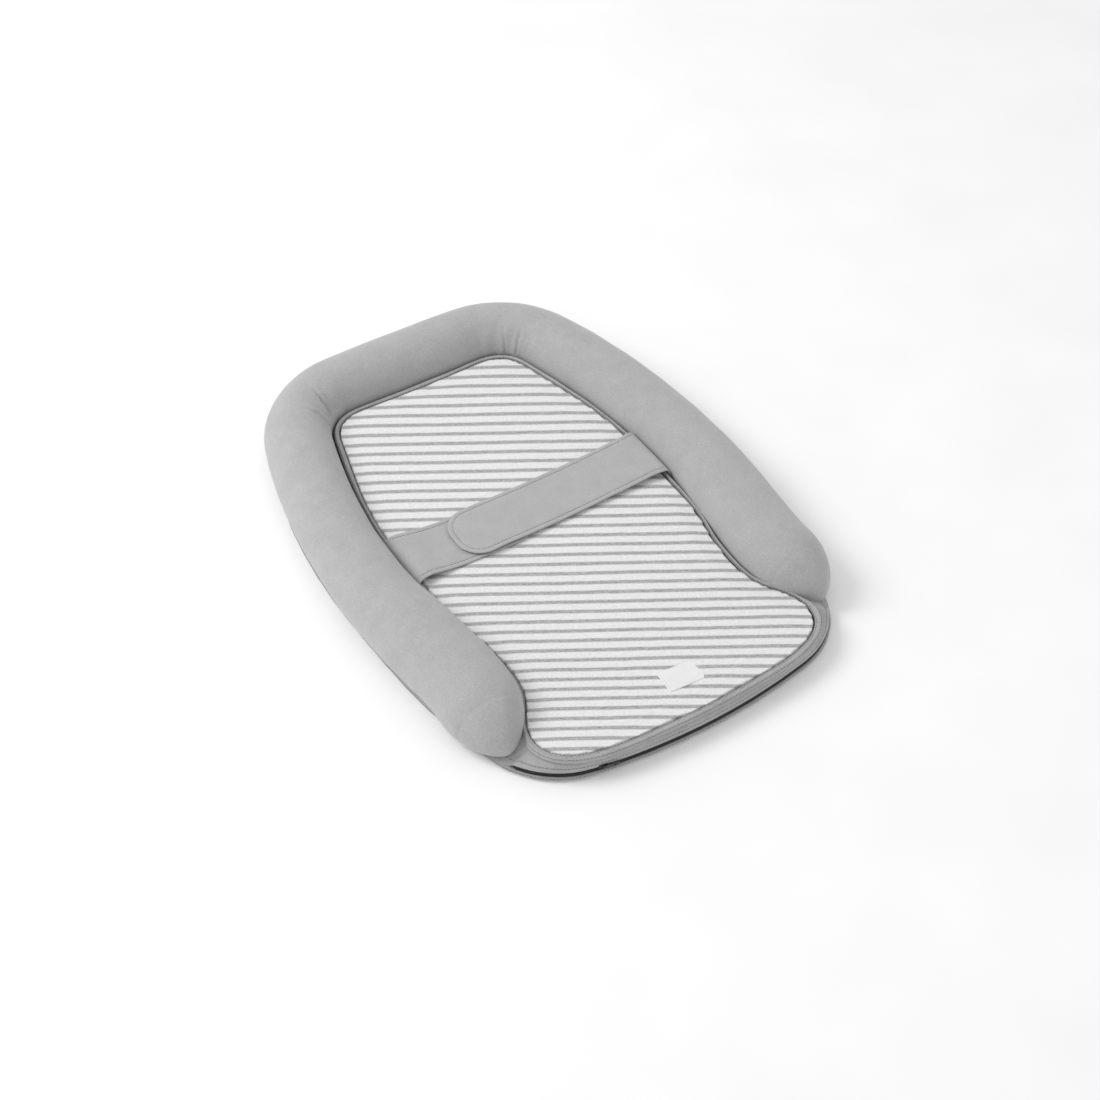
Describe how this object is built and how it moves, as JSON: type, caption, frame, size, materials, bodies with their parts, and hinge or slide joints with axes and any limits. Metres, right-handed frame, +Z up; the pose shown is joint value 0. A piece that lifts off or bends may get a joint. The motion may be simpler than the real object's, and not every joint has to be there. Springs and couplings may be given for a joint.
{
  "type": "changing pad",
  "caption": "Baby changing pad: flat striped mat inside a rounded U-shaped bolster, with a two-strap hook-and-loop belt and a zip round the foot end.",
  "frame": {"origin": "centre of the footprint, on the surface that the pad stands on", "axes": "+X to the right seen from the foot end, +Y towards the head end, +Z up"},
  "size_m": [0.5008, 0.6886, 0.0652],
  "materials": {
    "bolster_jersey": "heathered grey knit",
    "striped_jersey": "off-white knit with heathered grey stripes",
    "binding_jersey": "heathered grey knit, bound edge",
    "wall_fabric": "grey woven fabric with a slight shine",
    "belt_jersey": "heathered grey knit, topstitched",
    "underside_fabric": "plain grey woven fabric",
    "filling": "polyester fibre filling",
    "foam": "soft polyurethane foam",
    "hook_and_loop": "hook-and-loop tape",
    "zip_tape": "black woven zip tape",
    "zip_coil": "black nylon coil",
    "zip_metal": "black lacquered metal",
    "label_tape": "white woven tape, blank"
  },
  "bodies": {
    "pad": {"bottom_panel": "underside_fabric", "base_binding": "binding_jersey", "base_wadding": "filling", "foam_core": "foam", "mat_wadding": "filling", "mat_top": "striped_jersey", "mat_wall": "wall_fabric", "mat_binding": "binding_jersey", "label": "label_tape", "bolster_cover": "bolster_jersey", "bolster_filling": "filling", "bolster_cap_left": "bolster_jersey", "bolster_cap_right": "bolster_jersey", "foot_wall": "wall_fabric", "zip_tape_lower": "zip_tape", "zip_tape_upper": "zip_tape", "zip_coil_lower": "zip_coil", "zip_coil_upper": "zip_coil", "zip_stops": "zip_metal", "belt_anchor_left": "belt_jersey", "belt_anchor_right": "belt_jersey"},
    "belt_right_root": {"belt_right_root": "belt_jersey"},
    "belt_right_middle": {"belt_right_middle": "belt_jersey"},
    "belt_right_end": {"belt_right_end": "belt_jersey", "hook_patch": "hook_and_loop"},
    "belt_left_root": {"belt_left_root": "belt_jersey"},
    "belt_left_end": {"belt_left_end": "belt_jersey", "loop_patch": "hook_and_loop"},
    "zip_slider": {"zip_slider": "zip_metal"},
    "zip_pull": {"zip_pull": "zip_metal"}
  },
  "joints": [
    {"name": "belt_right_open", "type": "hinge", "parent": "pad", "child": "belt_right_root", "pos_m": [0.1654, 0.0067, 0.0333], "axis": [0, 1, 0], "range_deg": [0, 110]},
    {"name": "belt_right_fold_1", "type": "hinge", "parent": "belt_right_root", "child": "belt_right_middle", "pos_m": [0.116, 0.0067, 0.0333], "axis": [0, 1, 0], "range_deg": [0, 55]},
    {"name": "belt_right_fold_2", "type": "hinge", "parent": "belt_right_middle", "child": "belt_right_end", "pos_m": [0.066, 0.0067, 0.0333], "axis": [0, 1, 0], "range_deg": [0, 45]},
    {"name": "belt_left_open", "type": "hinge", "parent": "pad", "child": "belt_left_root", "pos_m": [-0.1654, 0.0067, 0.0295], "axis": [0, 1, 0], "range_deg": [-100, 0]},
    {"name": "belt_left_fold", "type": "hinge", "parent": "belt_left_root", "child": "belt_left_end", "pos_m": [-0.116, 0.0067, 0.0295], "axis": [0, 1, 0], "range_deg": [-56, 0]},
    {"name": "zip_run", "type": "hinge", "parent": "pad", "child": "zip_slider", "pos_m": [0, 0.3557, 0.0114], "axis": [0, 0, 1], "range_deg": [0, 20.4]},
    {"name": "zip_pull_swing", "type": "hinge", "parent": "zip_slider", "child": "zip_pull", "pos_m": [-0.12405, -0.33373, 0.0114], "axis": [0, 0, -1], "range_deg": [0, 170]}
  ],
  "couplings": [
    {"joint": "belt_left_open", "follows": "belt_right_open", "ratio": -0.9},
    {"joint": "belt_left_fold", "follows": "belt_right_open", "ratio": -0.5}
  ]
}
